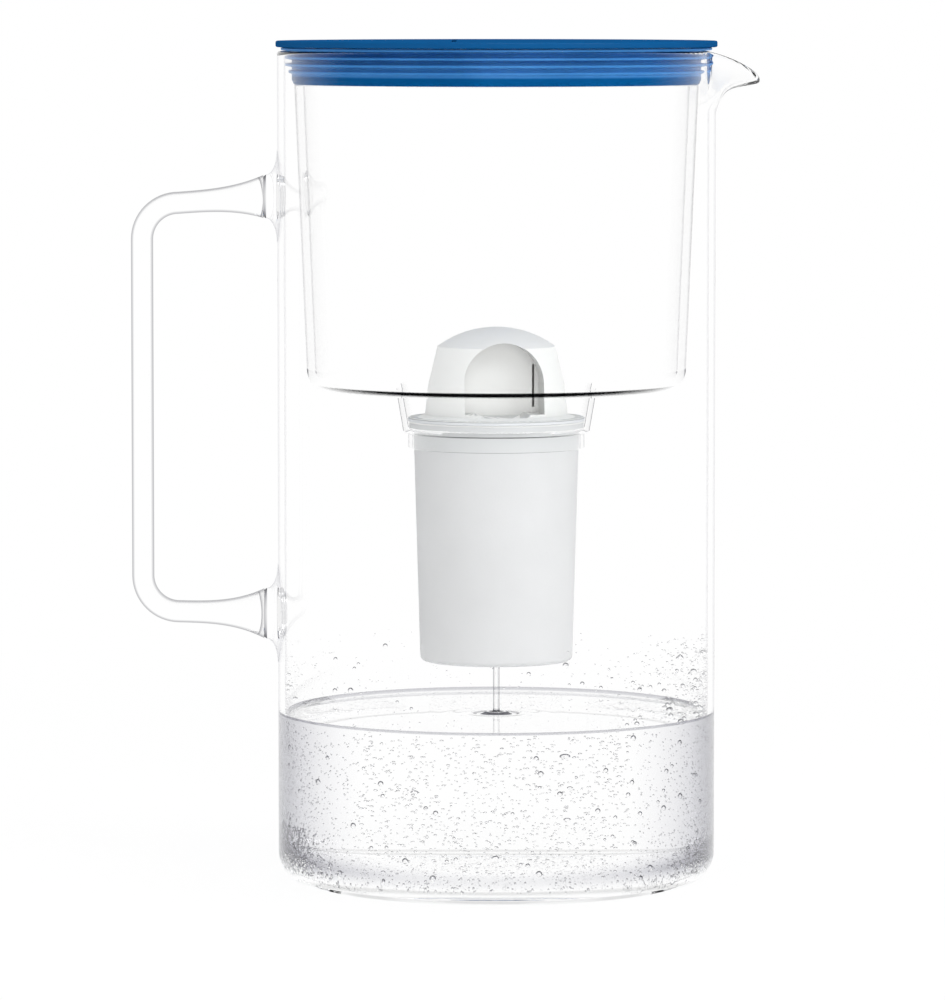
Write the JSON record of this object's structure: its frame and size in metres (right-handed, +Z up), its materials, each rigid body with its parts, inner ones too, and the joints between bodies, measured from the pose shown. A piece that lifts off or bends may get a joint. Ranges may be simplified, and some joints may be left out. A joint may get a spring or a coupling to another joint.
{
  "type": "water filter pitcher",
  "caption": "Round clear glass jug with a pulled spout and loop handle, holding a clear hopper, a white filter cartridge and a blue flip lid.",
  "frame": {"origin": "centre of the jug's round base, on the surface it stands on", "axes": "+Z up along the jug's axis, +X to the spout, -X to the handle, +Y away from the viewer of the picture"},
  "size_m": [0.1893, 0.1328, 0.2538],
  "materials": {
    "jug_glass": "clear polished borosilicate",
    "handle_glass": "clear polished borosilicate",
    "hopper_plastic": "clear polished",
    "seal_silicone": "satin translucent blue silicone",
    "lid_plastic": "satin blue",
    "flip_lid_plastic": "satin blue",
    "pin_steel": "ground",
    "housing_plastic": "moulded white",
    "gasket_rubber": "matte",
    "button_plastic": "frosted white",
    "board_laminate": "green solder mask",
    "led_plastic": "clear resin",
    "dome_steel": "bright stamped",
    "cell_steel": "drawn",
    "cartridge_plastic": "moulded white, semi-matte",
    "cartridge_seal_rubber": "satin white",
    "mesh_plastic": "moulded white",
    "fleece": "pressed fleece",
    "media_granules": "loose black carbon and amber resin grains"
  },
  "bodies": {
    "jug": {"glass_jug": "jug_glass", "glass_handle": "handle_glass"},
    "hopper_unit": {"hopper": "hopper_plastic", "hopper_seal": "seal_silicone"},
    "cartridge": {"cartridge_cup": "cartridge_plastic", "cartridge_cap": "cartridge_plastic", "cartridge_seal": "cartridge_seal_rubber", "inlet_mesh": "mesh_plastic", "outlet_fleece": "fleece", "filter_media": "media_granules"},
    "lid_unit": {"lid": "lid_plastic", "hinge_pins": "pin_steel", "indicator_housing": "housing_plastic", "indicator_cover": "housing_plastic", "indicator_gasket": "gasket_rubber", "indicator_board": "board_laminate", "indicator_led": "led_plastic", "switch_dome": "dome_steel", "coin_cell": "cell_steel"},
    "flip_lid": {"flip_lid": "flip_lid_plastic"},
    "button": {"indicator_button": "button_plastic"}
  },
  "joints": [
    {"name": "hopper_lift", "type": "slide", "parent": "jug", "child": "hopper_unit", "axis": [0, 0, 1], "range_m": [0, 0.2]},
    {"name": "lid_lift", "type": "slide", "parent": "hopper_unit", "child": "lid_unit", "axis": [0, 0, 1], "range_m": [0, 0.06]},
    {"name": "flip_lid_hinge", "type": "hinge", "parent": "lid_unit", "child": "flip_lid", "pos_m": [-0.01, 0, 0.2514], "axis": [0, -1, 0], "range_deg": [0, 100]},
    {"name": "button_press", "type": "slide", "parent": "lid_unit", "child": "button", "axis": [0, 0, -1], "range_m": [0, 0.0007], "stiffness_N_per_m": 400},
    {"name": "cartridge_lift", "type": "slide", "parent": "hopper_unit", "child": "cartridge", "axis": [0, 0, 1], "range_m": [0, 0.07]}
  ]
}
